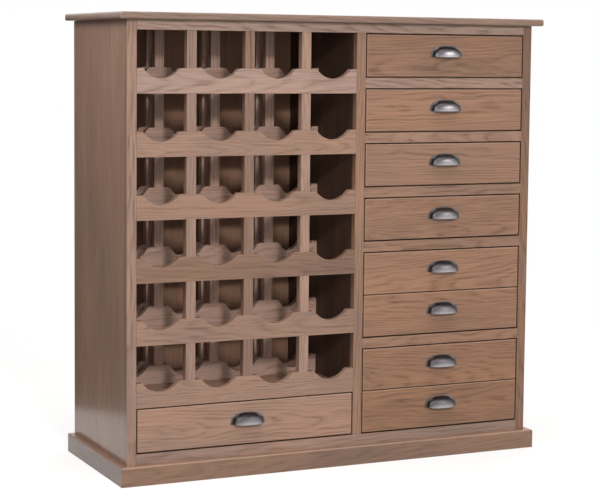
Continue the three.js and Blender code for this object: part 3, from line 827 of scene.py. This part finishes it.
def cupShell(low, high, settings):
    # a cube is blown up to a full round form, and a quarter of it is kept
    width, height = high.x - low.x, high.z - low.z
    reach = high.y - low.y - settings["flange"]
    fullness = settings["fullness"]
    bm = bmesh.new()
    bmesh.ops.create_cube(bm, size=2)
    bmesh.ops.subdivide_edges(bm, edges=bm.edges[:], cuts=settings["cuts"], use_grid_fill=True)
    for vert in bm.verts:
        vert.co /= sum(abs(part) ** fullness for part in vert.co) ** (1 / fullness)
    for outward in ((0, 1, 0), (0, 0, -1)):
        sliceAt(bm, (0, 0, 0), outward, clear=True)
    bmesh.ops.scale(bm, vec=(settings["cupWidth"] / 2, reach, settings["cupHeight"]), verts=bm.verts)
    bmesh.ops.recalc_face_normals(bm, faces=bm.faces)
    front = min(bm.faces, key=lambda face: face.calc_center_median().y)
    if front.normal.y > 0:
        bmesh.ops.reverse_faces(bm, faces=bm.faces)
    # the flange is drawn out from the back rim, in the plane of the drawer front
    rimEdges = [edge for edge in bm.edges if edge.is_boundary and liesAt(edge, 0)]
    made = bmesh.ops.extrude_edge_only(bm, edges=rimEdges)["geom"]
    rim = pick(made, bmesh.types.BMVert)
    bmesh.ops.scale(bm, vec=(width / settings["cupWidth"], 1, height / settings["cupHeight"]), verts=rim)
    bmesh.ops.translate(bm, vec=(0, -settings["flange"], 0), verts=bm.verts)
    bmesh.ops.solidify(bm, geom=bm.faces[:], thickness=settings["wall"])
    return bm


def makeCupPull(node, settings):
    low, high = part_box(node)
    bm = cupShell(low, high, settings)
    crown = bm.verts.layers.float.new("crown")
    reach = high.y - low.y
    for vert in bm.verts:
        # place as shares of the cup's half width and height
        acrossShare, upShare = 2 * vert.co.x / settings["cupWidth"], vert.co.z / settings["cupHeight"]
        forward = max(0, -vert.co.y - settings["flange"]) / reach
        # the top and the ends darken with patina and with a painted dark reflection; the cup is brightest
        # low and forward
        worn = min(1, forward / settings["rubbedFrom"]) * max(0, 1 - settings["topDullness"] * upShare)
        worn = max(settings["cornerRubbing"], worn * (1 - settings["endDullness"] * acrossShare ** 2))
        onFlange = math.hypot(acrossShare, upShare) > settings["flangeFrom"]
        vert[crown] = settings["rimRubbing"] if onFlange else worn
    bmesh.ops.translate(bm, vec=((low.x + high.x) / 2, high.y, low.z), verts=bm.verts)
    return finishPiece(bm, node, "_cast", pewter, smoothAngle=50)


pulls = [makeCupPull(node, cupPull) for node in nodeNames if node.endswith("_cup_pull")]


# Plain studio: pale floor, white surround, a key almost from the front with a broad fill under it,
# a soft light from above, a near softbox on the left, a far one behind the cabinet and a small one
# that gives the pulls their spark.
print("studio")
studio = {
    "floorReach": 30, "floorColour": "#f6f5f3",
    # share of the floor's white that lenses and mirrors always see, near the cabinet and far off
    "nearGlow": 0.6, "farGlow": 1.0, "nearReach": 1.1, "farReach": 2.8,
    "floorBounce": "#8f8c8a",  # what the floor sends back to matt surfaces
    "surround": 0.12,          # light of the surround on matt surfaces
    "aim": (0, -0.2, 0.6),
    # azimuth from straight in front towards the left and height in degrees, distance and size in
    # metres; lamps hidden from glossy rays would burn out on the lacquer, and so would the spark,
    # which shines only on the pulls
    "softboxes": {
        "key": {"azimuth": 12, "height": 22, "distance": 5.4, "size": 0.5, "level": 0.44,
                "hiddenFrom": "glossy"},
        "fill": {"azimuth": 13, "height": 11, "distance": 3.9, "size": 2.0, "level": 0.265,
                 "hiddenFrom": "glossy"},
        "left": {"azimuth": 80, "height": 38, "distance": 2.2, "size": 0.9, "level": 0.36},
        "rear": {"azimuth": -138, "height": 28, "distance": 4.5, "size": 1.6, "level": 0.45,
                 "hiddenFrom": "glossy"},
        "spark": {"azimuth": -36, "height": 30, "distance": 3.2, "size": 0.8, "level": 0.27,
                  "shinesOn": pulls},
    },
    "overhead": {"azimuth": 20, "height": 78, "distance": 6, "spread": 50, "level": 0.6},
    # a dark card beside the cabinet on the left, which only reflections see: the lacquered side
    # mirrors it and, below it, the pale floor
    "card": {"foot": ((-1.5, -0.31), (-0.55, 1.1)), "height": 1.21, "colour": "#1c1a18"},
}


def addSeenFactor(tree):
    # 1 where a camera, mirror or glass ray looks, 0 for light between matt surfaces
    path = addNode(tree, "ShaderNodeLightPath")
    seen = addNode(tree, "ShaderNodeMath", {"operation": "MAXIMUM"},
                   {0: path.outputs["Is Camera Ray"], 1: path.outputs["Is Glossy Ray"]})
    return addNode(tree, "ShaderNodeMath", {"operation": "MAXIMUM"},
                   {0: seen.outputs[0], 1: path.outputs["Is Transmission Ray"]}).outputs[0]


def makeFloor(settings):
    bm = bmesh.new()
    bmesh.ops.create_grid(bm, x_segments=1, y_segments=1, size=settings["floorReach"])
    mesh = bpy.data.meshes.new("floor")
    bm.to_mesh(mesh)
    bm.free()
    material, tree = newMaterial("mattPaleFloor")
    seen = addSeenFactor(tree)
    colour = addNode(tree, "ShaderNodeMix", {"data_type": "RGBA"},
                     {"Factor": seen, "A": hexColour(settings["floorBounce"]),
                      "B": hexColour(settings["floorColour"])})
    matt = addNode(tree, "ShaderNodeBsdfDiffuse", None, {"Color": colour.outputs["Result"]})
    glow = addNode(tree, "ShaderNodeEmission", None, {"Color": (1, 1, 1, 1), "Strength": 1.0})
    place = addNode(tree, "ShaderNodeTexCoord").outputs["Object"]
    away = addNode(tree, "ShaderNodeVectorMath", {"operation": "LENGTH"}, {0: place})
    glowShare = addNode(tree, "ShaderNodeMapRange", {"interpolation_type": "SMOOTHSTEP"},
                        {"Value": away.outputs["Value"], "From Min": settings["nearReach"],
                         "From Max": settings["farReach"], "To Min": settings["nearGlow"],
                         "To Max": settings["farGlow"]})
    share = addNode(tree, "ShaderNodeMath", {"operation": "MULTIPLY"},
                    {0: seen, 1: glowShare.outputs["Result"]})
    floorLook = addNode(tree, "ShaderNodeMixShader", None,
                        {0: share.outputs[0], 1: matt.outputs[0], 2: glow.outputs[0]})
    addNode(tree, "ShaderNodeOutputMaterial", None, {"Surface": floorLook.outputs[0]})
    mesh.materials.append(material)
    floor = bpy.data.objects.new("floor", mesh)
    bpy.context.scene.collection.objects.link(floor)


def placeLamp(data, azimuth, height, distance):
    side, rise = math.radians(azimuth), math.radians(height)
    towards = Vector((-math.sin(side) * math.cos(rise), -math.cos(side) * math.cos(rise), math.sin(rise)))
    lamp = bpy.data.objects.new(data.name, data)
    lamp.location = Vector(studio["aim"]) + towards * distance
    lamp.rotation_euler = (-towards).to_track_quat("-Z", "Y").to_euler()
    bpy.context.scene.collection.objects.link(lamp)
    return lamp


def makeOverhead(azimuth, height, distance, spread, level):
    # level 1 shows a matt surface that faces the lamp in its own colour
    data = bpy.data.lights.new("overhead", "SUN")
    data.energy = level * math.pi
    data.angle = math.radians(spread)
    placeLamp(data, azimuth, height, distance)


def makeSoftbox(name, azimuth, height, distance, size, level, hiddenFrom=None, shinesOn=None):
    # level is what it gives at the aim, so that it falls off with distance from there
    data = bpy.data.lights.new(name, "AREA")
    data.shape = "DISK"
    data.size = size
    data.energy = level * (math.pi * distance) ** 2
    lamp = placeLamp(data, azimuth, height, distance)
    lamp.visible_camera = False
    if hiddenFrom:
        setattr(lamp, "visible_" + hiddenFrom, False)
    if shinesOn:
        lit = bpy.data.collections.new(name + "Lit")
        for piece in shinesOn:
            lit.objects.link(piece)
        lamp.light_linking.receiver_collection = lit


def makeSurround(settings):
    world = bpy.data.worlds.new("surround")
    world.use_nodes = True
    tree = world.node_tree
    tree.nodes.clear()
    strength = addNode(tree, "ShaderNodeMapRange", None,
                       {"Value": addSeenFactor(tree), "To Min": settings["surround"], "To Max": 1.0})
    light = addNode(tree, "ShaderNodeBackground", None,
                    {"Color": (1, 1, 1, 1), "Strength": strength.outputs["Result"]})
    addNode(tree, "ShaderNodeOutputWorld", None, {"Surface": light.outputs[0]})
    bpy.context.scene.world = world


def makeCard(foot, height, colour):
    bm = bmesh.new()
    left, right = foot
    places = ((*left, 0), (*right, 0), (*right, height), (*left, height))
    bm.faces.new([bm.verts.new(place) for place in places])
    mesh = bpy.data.meshes.new("card")
    bm.to_mesh(mesh)
    bm.free()
    material, tree = newMaterial("darkCard")
    matt = addNode(tree, "ShaderNodeBsdfDiffuse", None, {"Color": hexColour(colour)})
    addNode(tree, "ShaderNodeOutputMaterial", None, {"Surface": matt.outputs[0]})
    mesh.materials.append(material)
    card = bpy.data.objects.new("card", mesh)
    for kind in ("camera", "diffuse", "transmission", "shadow"):
        setattr(card, "visible_" + kind, False)
    bpy.context.scene.collection.objects.link(card)


makeFloor(studio)
makeCard(**studio["card"])
makeOverhead(**studio["overhead"])
for lampName, lampSettings in studio["softboxes"].items():
    makeSoftbox(lampName, **lampSettings)
makeSurround(studio)
bpy.context.scene.view_settings.view_transform = "Standard"

print("done")
